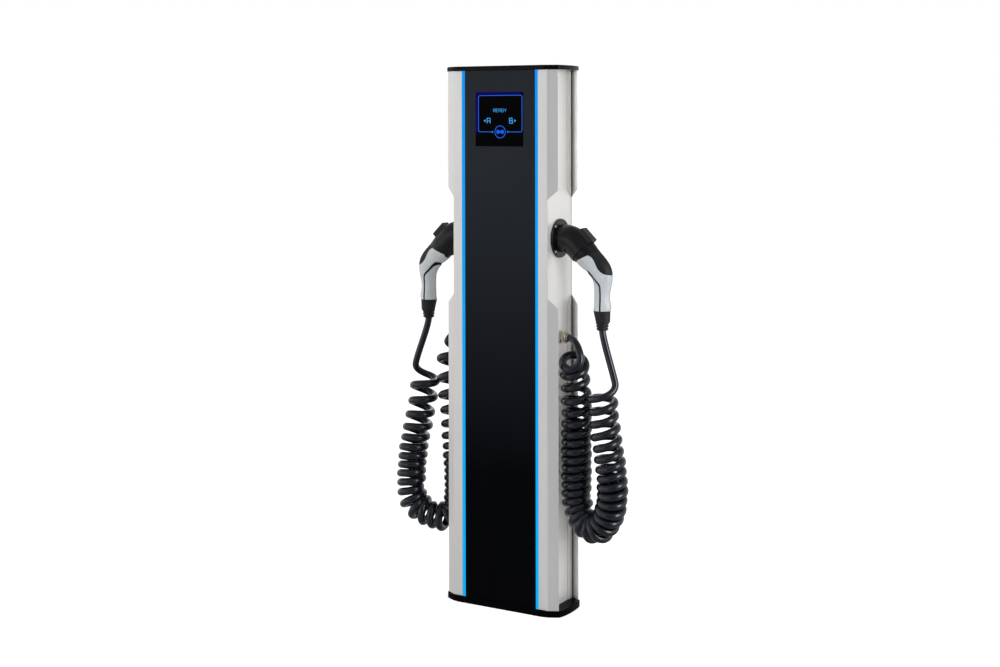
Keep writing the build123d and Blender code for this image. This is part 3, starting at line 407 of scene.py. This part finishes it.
def smooth_path(corners, steps):
    """A Catmull-Rom curve through the corners, resampled to evenly spaced points."""
    corners = np.array(corners, float)
    padded = np.vstack([2 * corners[0] - corners[1], corners, 2 * corners[-1] - corners[-2]])
    dense = []
    for a, b, c, d in zip(padded, padded[1:], padded[2:], padded[3:]):
        for t in np.linspace(0, 1, 40, endpoint=False):
            dense.append(0.5 * (2 * b + (c - a) * t + (2 * a - 5 * b + 4 * c - d) * t * t
                                + (3 * b - a - 3 * c + d) * t ** 3))
    dense.append(corners[-1])
    dense = np.array(dense)
    run = np.concatenate([[0], np.cumsum(np.linalg.norm(np.diff(dense, axis=0), axis=1))])
    even = np.linspace(0, run[-1], steps)
    return np.stack([np.interp(even, run, dense[:, k]) for k in range(3)], axis=1), run[-1]


def hermite(start, start_pull, end, end_pull, steps):
    """A cubic from start to end that leaves and arrives along the two pulls."""
    t = np.linspace(0, 1, steps)[:, None]
    start, start_pull, end, end_pull = (np.array(v, float) for v in (start, start_pull, end, end_pull))
    return ((2 * t ** 3 - 3 * t ** 2 + 1) * start + (t ** 3 - 2 * t ** 2 + t) * start_pull
            + (3 * t ** 2 - 2 * t ** 3) * end + (t ** 3 - t ** 2) * end_pull)


# ------------------------------------------------------------------ coiled cables
TAIL_RADIUS = 9.0 * MM
COILED_RADIUS = 10.2 * MM         # the coiled length carries a thicker jacket
COIL_RADIUS = 29.6 * MM           # to the middle of the cable
STEPS_PER_TURN = 26
TIGHT_SQUEEZE = 11 * MM           # how far turns are pushed inwards on the inside of the bend
BEND_SPREAD = 0.085               # share of the centre line over which the bottom bend's turns change
SMALL_TURNS = 0.55                # how many turns the smaller start lasts
PATH_STEPS = 1600
FRONT = np.array([0.3, -0.95, 0.0])
BOOT_END_X = 262 * MM
DEPTH_IN_BOOT = 26 * MM
COIL_END_PULL = 95 * MM           # how stiffly the tail leaves the coil, passes its bulge and enters the boot
BULGE_PULLS = (85 * MM, 110 * MM)
BOOT_PULL = 80 * MM

# Hanging shape of each coil, in millimetres and degrees.
#   centre: points its centre line runs through, from the gland round to the plug
#   pitch: spacing of the turns at shares of that line's length
#   droop: how far each turn's front sags, as a share of its radius
#   first_side, phase: where the first turn's angles count from, and the angles of its two ends
#   bend: where on the line the bottom bend is;  tail: where the tail bulges outwards before the boot
#   small_start: how much smaller the first turn is;  gland_pull: how stiffly the cable leaves the gland
COILS = {
    "right": {
        "centre": [
            (190, -30, 656), (186, -17, 646), (184, -4, 626), (185, 0, 596), (187, 0, 560), (187, 1, 430),
            (187, 1, 330), (195, -2, 270), (221, -8, 234), (257, -15, 230), (287, -20, 264), (301, -22, 325),
            (289, -17, 415), (272, -10, 500), (264, -8, 563)],
        "pitch": {
            0: 36, 0.02: 37, 0.05: 37, 0.10: 36, 0.15: 32, 0.20: 29, 0.26: 22, 0.36: 22, 0.50: 21.5,
            0.60: 21.5, 0.72: 21.5, 0.80: 25, 0.88: 31, 1: 33},
        "first_side": (0.87, 0.5, 0), "phase": (-15, 120), "bend": 0.52, "droop": 0.18,
        "small_start": 0.27, "gland_pull": 60, "tail": (300, -6, 600)},
    "left": {
        "centre": [
            (-186, -12, 668), (-190, -2, 640), (-191, 0, 595), (-187, 6, 510), (-183, 12, 420),
            (-181, 19, 330), (-181, 22, 255), (-186, 16, 214), (-206, 4, 195), (-235, -5, 199),
            (-259, -11, 206), (-284, -16, 217), (-300, -20, 242), (-304, -22, 290), (-300, -20, 360),
            (-289, -15, 430), (-277, -11, 495), (-266, -8, 566)],
        "pitch": {
            0: 52, 0.04: 53, 0.09: 50, 0.14: 45, 0.19: 40, 0.23: 36, 0.27: 31, 0.30: 27, 0.33: 23.5,
            0.36: 20, 0.46: 18.5, 0.52: 22, 0.60: 25, 0.68: 23.5, 0.76: 22, 0.82: 27, 0.88: 36, 0.94: 43,
            1: 44},
        "first_side": (1, 0, 0), "phase": (172, 205), "bend": 0.60, "droop": -0.12,
        "small_start": 0.80, "gland_pull": 30, "tail": (-301, -4, 604)},
}


def coil_points(shape, sign):
    """Points along one hanging helix."""
    start_phase, end_phase = (math.radians(angle) for angle in shape["phase"])
    line, length = smooth_path(np.array(shape["centre"]) * MM, PATH_STEPS)
    _, right, up = carried_frames(line, shape["first_side"])
    along = np.linspace(0, length, len(line))
    share = along / length
    pitch = np.interp(share, list(shape["pitch"]), np.array(list(shape["pitch"].values())) * MM)
    turns_per_step = (1 / pitch[1:] + 1 / pitch[:-1]) / 2 * np.diff(along)
    phase = np.concatenate([[0], np.cumsum(turns_per_step)]) * 2 * math.pi
    spare = end_phase - start_phase
    wanted = spare + 2 * math.pi * round((phase[-1] - spare) / (2 * math.pi))
    phase = start_phase + phase * wanted / phase[-1]
    count = int(wanted / (2 * math.pi) * STEPS_PER_TURN)
    picks = np.interp(np.linspace(phase[0], phase[-1], count), phase, np.arange(len(line)))

    def at_picks(values):
        if values.ndim == 1:
            return np.interp(picks, np.arange(len(values)), values)
        return np.stack([np.interp(picks, np.arange(len(values)), values[:, k]) for k in range(3)], axis=1)

    line, right, up, phase, share = map(at_picks, (line, right, up, phase, share))
    turns = (phase - start_phase) / (2 * math.pi)
    spoke = np.cos(phase)[:, None] * right + np.sin(phase)[:, None] * up
    bend = np.exp(-((share - shape["bend"]) / BEND_SPREAD) ** 2)
    alternate = 0.5 + 0.5 * np.cos(phase / 2 + (0 if sign > 0 else math.pi / 2))
    inward = bend * np.clip(sign * np.cos(phase), 0, 1) ** 2 * alternate
    wobble = 0.8 * MM * np.sin(phase * 0.37) + 0.5 * MM * np.sin(phase * 0.83 + 1.0)
    first_turn = 1 - shape["small_start"] * np.exp(-(turns / SMALL_TURNS) ** 2)
    reach = COIL_RADIUS * first_turn + wobble - TIGHT_SQUEEZE * inward
    sag = shape["droop"] * COIL_RADIUS * (spoke @ FRONT) * (1 - bend)
    return line + reach[:, None] * spoke - np.array([0, 0, 1]) * sag[:, None]


def build_cable(side, sign):
    """One coiled cable from its gland to the plug's boot."""
    shape = COILS[side]
    coil = coil_points(shape, sign)
    gland_low, gland_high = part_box("cable_glands")
    gland_tip = np.array((sign * (gland_high.x - 3 * MM), 0, (gland_low.z + gland_high.z) / 2))
    boot_low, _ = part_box(f"{side}_plug_boot")
    boot_end = np.array((sign * BOOT_END_X, 0, boot_low.z - 1 * MM))
    out = np.array((sign, 0, 0))
    first_run = unit(coil[1] - coil[0])
    last_run = unit(coil[-1] - coil[-2])
    bulge = np.array(shape["tail"]) * MM
    upward = np.array((-sign * 0.27, 0.02, 1.0))
    pull = shape["gland_pull"] * MM
    head = hermite(gland_tip, out * pull, coil[0], first_run * pull, 26)
    into_boot = np.array((sign * -0.10, 0, 1))
    tail = hermite(coil[-1], last_run * COIL_END_PULL, bulge, upward * BULGE_PULLS[0], 18)
    rise = hermite(bulge, upward * BULGE_PULLS[1], boot_end, into_boot * BOOT_PULL, 18)
    inside = boot_end + np.array((sign * -1.5 * MM, 0, DEPTH_IN_BOOT))
    points = np.vstack([head[:-1], coil, tail[1:-1], rise, inside[None]])
    rows = np.arange(len(points))
    starts, ends = len(head) - 1, len(head) - 1 + len(coil)
    coiled = np.clip((rows - starts + 18) / 18, 0, 1) * np.clip((ends + 8 - rows) / 16, 0, 1)
    radii = TAIL_RADIUS + (COILED_RADIUS - TAIL_RADIUS) * coiled
    piece = tube(f"{side}_coiled_cable", points, radii, slot_materials["cable_jacket"], None)
    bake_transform(piece)
    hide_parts(f"{side}_cable")


build_cable("right", 1)
build_cable("left", -1)

# ------------------------------------------------------------------ display graphics
PRINT_DEPTH = 0.25 * MM
print_y = glass_low.y
glass_x = (glass_low.x + glass_high.x) / 2 + 2.9 * MM
glass_z = (glass_low.z + glass_high.z) / 2

outline_blue = lit_print("OutlineBlue", (0.02, 0.14, 0.80), 0.95)
text_blue = lit_print("TextBlue", (0.05, 0.38, 0.90), 0.95)
icon_blue = lit_print("IconBlue", (0.01, 0.12, 0.92), 0.95)


def ribbon(verts, faces, path, width, closed=False):
    """Add a flat raised line along a path of X and Z points on the glass."""
    path = [np.array(p, float) for p in path]
    count = len(path)
    base = len(verts)
    for index, point in enumerate(path):
        before = path[index - 1] if closed or index else point
        after = path[(index + 1) % count] if closed or index < count - 1 else point
        along = unit(after - before)
        normal = np.array((-along[1], along[0]))
        if closed or 0 < index < count - 1:
            bisect = math.sqrt(max(0.25, (1 + unit(point - before).dot(unit(after - point))) / 2))
            normal = normal / bisect
        for offset, depth in ((0.5, 0), (-0.5, 0), (-0.5, 1), (0.5, 1)):
            spot = point + normal * width * offset
            verts.append((spot[0], print_y - PRINT_DEPTH * (1 - depth), spot[1]))
    for index in range(count if closed else count - 1):
        here, there = base + 4 * index, base + 4 * ((index + 1) % count)
        for k in range(4):
            faces.append((here + k, here + (k + 1) % 4, there + (k + 1) % 4, there + k))
    if not closed:
        last = base + 4 * (count - 1)
        faces.append((base + 3, base + 2, base + 1, base))
        faces.append((last, last + 1, last + 2, last + 3))


def arc(centre, radius, start, end, steps):
    return [(centre[0] + radius * math.cos(math.radians(a)), centre[1] + radius * math.sin(math.radians(a)))
            for a in np.linspace(start, end, steps)]


def graphic(name, strokes, width, material):
    """One glowing print made of several strokes."""
    verts, faces = [], []
    for path, closed in strokes:
        ribbon(verts, faces, path, width, closed)
    piece = new_piece(name, verts, faces, material, "post", smooth=False)


half_width, ring_radius, corner = 65 * MM, 15.6 * MM, 5 * MM
top_z, bottom_z = glass_z + 61.3 * MM, glass_z - 32.7 * MM
ring_gap = 20 * MM


def half_outline(sign):
    """The outline from the middle of the top edge round one side to beside the ring."""
    turn = 90 if sign > 0 else -90
    upper = arc((glass_x + sign * (half_width - corner), top_z - corner), corner, 90, 90 - turn, 6)
    lower_start = 0 if sign > 0 else 180
    lower = arc((glass_x + sign * (half_width - corner), bottom_z + corner), corner, lower_start,
                lower_start - turn, 6)
    return [(glass_x, top_z)] + upper + lower + [(glass_x + sign * ring_gap, bottom_z)]


ring_centre = (glass_x, bottom_z)
graphic("display_outline", [
    (list(reversed(half_outline(-1))) + half_outline(1)[1:], False),
    (arc(ring_centre, ring_radius, 0, 352, 45), True)], 1.7 * MM, outline_blue)

# Strokes of each letter, on a cell one wide and one high.
LETTER_STROKES = {
    "R": [[(0, 0), (0, 1), (1, 1), (1, 0.52), (0, 0.52)], [(0.45, 0.52), (1, 0)]],
    "E": [[(1, 1), (0, 1), (0, 0), (1, 0)], [(0, 0.5), (0.85, 0.5)]],
    "A": [[(0, 0), (0, 1), (1, 1), (1, 0)], [(0, 0.45), (1, 0.45)]],
    "D": [[(0, 0), (0, 1), (0.7, 1), (1, 0.75), (1, 0.25), (0.7, 0), (0, 0)]],
    "Y": [[(0, 1), (0.5, 0.5), (1, 1)], [(0.5, 0.5), (0.5, 0)]],
    "B": [[(0, 0), (0, 1), (0.85, 1), (0.85, 0.54), (1, 0.46), (1, 0), (0, 0)], [(0, 0.5), (0.85, 0.5)]],
}


def word(text, left, base, width, height, gap):
    """Strokes of a word whose first letter's lower left corner is at left and base."""
    strokes = []
    for index, letter in enumerate(text):
        start = left + index * (width + gap)
        for path in LETTER_STROKES[letter]:
            strokes.append(([(start + x * width, base + z * height) for x, z in path], False))
    return strokes


graphic(
    "display_state_word",
    word("READY", glass_x - 20.0 * MM, glass_z + 18.5 * MM, 5.9 * MM, 8 * MM, 2.3 * MM), 1.0 * MM, text_blue)
graphic("display_outlet_marks",
        word("A", glass_x - 39 * MM, glass_z - 10.5 * MM, 9 * MM, 13 * MM, 0)
        + word("B", glass_x + 28 * MM, glass_z - 10.5 * MM, 9 * MM, 13 * MM, 0), 2.0 * MM, text_blue)


def flat_shape(name, outlines, material):
    """Solid flat shapes on the glass, each a closed outline of X and Z points."""
    verts, faces = [], []
    for outline in outlines:
        base, count = len(verts), len(outline)
        verts += [(x, print_y - PRINT_DEPTH, z) for x, z in outline]
        verts += [(x, print_y, z) for x, z in outline]
        faces.append(tuple(base + k for k in range(count)))
        faces.append(tuple(base + 2 * count - 1 - k for k in range(count)))
        for k in range(count):
            after = (k + 1) % count
            faces.append((base + after, base + k, base + count + k, base + count + after))
    piece = new_piece(name, verts, faces, material, "post", smooth=False)


def arrow(tip_x, base_x, middle_z, half):
    points = [(tip_x, middle_z), (base_x, middle_z - half), (base_x, middle_z + half)]
    return points if tip_x < base_x else points[::-1]


def bow(centre):
    """A waisted card-reader wave, as one closed outline."""
    x0, z0 = centre
    half, tall, waist = 10 * MM, 6.5 * MM, 2.2 * MM
    right = arc((x0 + half * 0.45, z0), tall, -62, 62, 9)
    left = arc((x0 - half * 0.45, z0), tall, 118, 242, 9)
    return right + [(x0, z0 + waist)] + left + [(x0, z0 - waist)]


mark_z = glass_z - 4 * MM
flat_shape("display_arrows", [
    arrow(glass_x - 49.5 * MM, glass_x - 44 * MM, mark_z, 3.6 * MM),
    arrow(glass_x + 47.5 * MM, glass_x + 42 * MM, mark_z, 3.6 * MM),
    arrow(glass_x - 20 * MM, glass_x - 24 * MM, bottom_z, 2.4 * MM),
    arrow(glass_x + 20 * MM, glass_x + 24 * MM, bottom_z, 2.4 * MM)], text_blue)
flat_shape("display_card_wave", [bow(ring_centre)], icon_blue)


# ------------------------------------------------------------------ floor, light and camera
CAMERA_AZIMUTH = math.radians(30)
CAMERA_DISTANCE = 4.0
CAMERA_HEIGHT = 1.265
LENS = 55.04
LENS_SHIFT_X = -0.0124
LENS_SHIFT_Y = -0.2155
CAMERA_ROLL = math.radians(0.1)
FLOOR_HALF_WIDTH = 30
FLOOR_LIFT = 0.62                 # glow that brings the floor to white for the camera alone
DIFFUSE_DIMMING = 0.36            # how much weaker the studio lights matt surfaces
DARK_END = (0.13, 0.165, 0.20, 1)


def pale_floor():
    """A wide pale floor, lifted to white for the camera and hidden from mirrors so the panel stays deep."""
    s = Shader("PaleFloor")
    cloud = s.noise((1.5, 1.5, 1.5))
    base = s.mix(s.spread(cloud, 0.0, 1.0), (0.74, 0.74, 0.73), (0.77, 0.77, 0.76))
    seen = s.add("ShaderNodeLightPath").outputs["Is Camera Ray"]
    material = s.finish(
        Base_Color=base, Roughness=0.9, Specular_IOR_Level=0.05, Emission_Color=(1.0, 1.0, 1.0),
        Emission_Strength=s.math("MULTIPLY", seen, FLOOR_LIFT))
    size = FLOOR_HALF_WIDTH
    mesh = bpy.data.meshes.new("floor")
    corners = [(-size, -size, 0), (size, -size, 0), (size, size, 0), (-size, size, 0)]
    mesh.from_pydata(corners, [], [(0, 1, 2, 3)])
    floor = bpy.data.objects.new("floor", mesh)
    bpy.context.scene.collection.objects.link(floor)
    floor.data.materials.append(material)
    floor.visible_glossy = False


def studio_world():
    """White to the camera, soft white to matt surfaces, and a banded studio to shiny ones."""
    world = bpy.data.worlds.new("Studio")
    bpy.context.scene.world = world
    world.use_nodes = True
    nodes, links = world.node_tree.nodes, world.node_tree.links
    nodes.clear()

    def maths(operation, *values):
        node = nodes.new("ShaderNodeMath")
        node.operation = operation
        for socket, value in zip(node.inputs, values):
            if isinstance(value, bpy.types.NodeSocket):
                links.new(value, socket)
            else:
                socket.default_value = value
        return node.outputs[0]

    coords = nodes.new("ShaderNodeTexCoord")
    split = nodes.new("ShaderNodeSeparateXYZ")
    links.new(coords.outputs["Generated"], split.inputs[0])
    height = nodes.new("ShaderNodeValToRGB")
    height.color_ramp.interpolation = "B_SPLINE"
    stops = [(0.0, 0.15), (0.34, 0.42), (0.42, 0.62), (0.49, 0.95), (0.56, 0.85), (0.70, 0.35), (1.0, 0.22)]
    ramp = height.color_ramp.elements
    while len(ramp) < len(stops):
        ramp.new(0.5)
    for element, (position, value) in zip(ramp, stops):
        element.position = position
        element.color = (value, value, value * 1.02, 1)
    links.new(maths("MULTIPLY_ADD", split.outputs["Z"], 0.5, 0.5), height.inputs[0])
    path = nodes.new("ShaderNodeLightPath")
    mirrored = nodes.new("ShaderNodeMix")
    mirrored.data_type = "RGBA"
    links.new(path.outputs["Is Glossy Ray"], mirrored.inputs["Factor"])
    mirrored.inputs["A"].default_value = (1, 1, 1, 1)
    # Mirrors see the dark end of the studio, a cool grey, behind the camera.
    towards = nodes.new("ShaderNodeVectorMath")
    towards.operation = "DOT_PRODUCT"
    links.new(coords.outputs["Generated"], towards.inputs[0])
    towards.inputs[1].default_value = (math.sin(CAMERA_AZIMUTH), -math.cos(CAMERA_AZIMUTH), 0)
    behind = nodes.new("ShaderNodeMapRange")
    links.new(towards.outputs["Value"], behind.inputs["Value"])
    behind.inputs["From Min"].default_value = 0.72
    behind.inputs["From Max"].default_value = 0.90
    darker = nodes.new("ShaderNodeMix")
    darker.data_type = "RGBA"
    links.new(behind.outputs["Result"], darker.inputs["Factor"])
    links.new(height.outputs["Color"], darker.inputs["A"])
    darker.inputs["B"].default_value = DARK_END
    links.new(darker.outputs["Result"], mirrored.inputs["B"])
    shade = nodes.new("ShaderNodeBackground")
    links.new(mirrored.outputs["Result"], shade.inputs["Color"])
    strength = maths("ADD", maths("MULTIPLY", path.outputs["Is Diffuse Ray"], -DIFFUSE_DIMMING), 1.0)
    links.new(strength, shade.inputs["Strength"])
    output = nodes.new("ShaderNodeOutputWorld")
    links.new(shade.outputs[0], output.inputs[0])


def soft_light(name, position, target, size, power, mirrored=True):
    """A large soft lamp aimed at a point; unmirrored, it lights the metal without showing in it."""
    light = bpy.data.lights.new(name, "AREA")
    light.shape = "RECTANGLE"
    light.size, light.size_y = size
    light.energy = power
    lamp = bpy.data.objects.new(name, light)
    bpy.context.scene.collection.objects.link(lamp)
    lamp.location = position
    lamp.visible_glossy = mirrored
    lamp.rotation_euler = (Vector(target) - Vector(position)).to_track_quat("-Z", "Y").to_euler()


def photo_camera():
    """Level camera at the right of the front, shifted down so that upright lines stay upright."""
    data = bpy.data.cameras.new("camera")
    data.lens = LENS
    data.sensor_width = 36
    data.shift_x = LENS_SHIFT_X
    camera = bpy.data.objects.new("camera", data)
    bpy.context.scene.collection.objects.link(camera)
    sideways = CAMERA_DISTANCE * math.sin(CAMERA_AZIMUTH)
    forwards = CAMERA_DISTANCE * math.cos(CAMERA_AZIMUTH)
    camera.location = (sideways, -forwards, CAMERA_HEIGHT)
    camera.rotation_mode = "XYZ"
    camera.rotation_euler = (math.radians(90), CAMERA_ROLL, CAMERA_AZIMUTH)
    # The vertical shift belongs to this view alone.
    curve = data.driver_add("shift_y")
    curve.driver.type = "AVERAGE"
    curve.modifiers[0].coefficients = (0.0, LENS_SHIFT_Y)
    variable = curve.driver.variables.new()
    variable.name = "mode"
    variable.targets[0].id = camera
    variable.targets[0].data_path = "rotation_mode"
    bpy.context.scene.camera = camera


pale_floor()
studio_world()
soft_light("key", (-3.3, -2.7, 1.5), (0, 0, 0.85), (2.2, 2.8), 56, mirrored=False)
soft_light("right", (3.6, -0.7, 1.5), (0, 0, 0.8), (1.3, 2.4), 58)
soft_light("back", (-1.6, 3.2, 2.4), (0, 0, 0.9), (2.0, 2.0), 12)
photo_camera()
bpy.context.scene.view_settings.view_transform = "Standard"
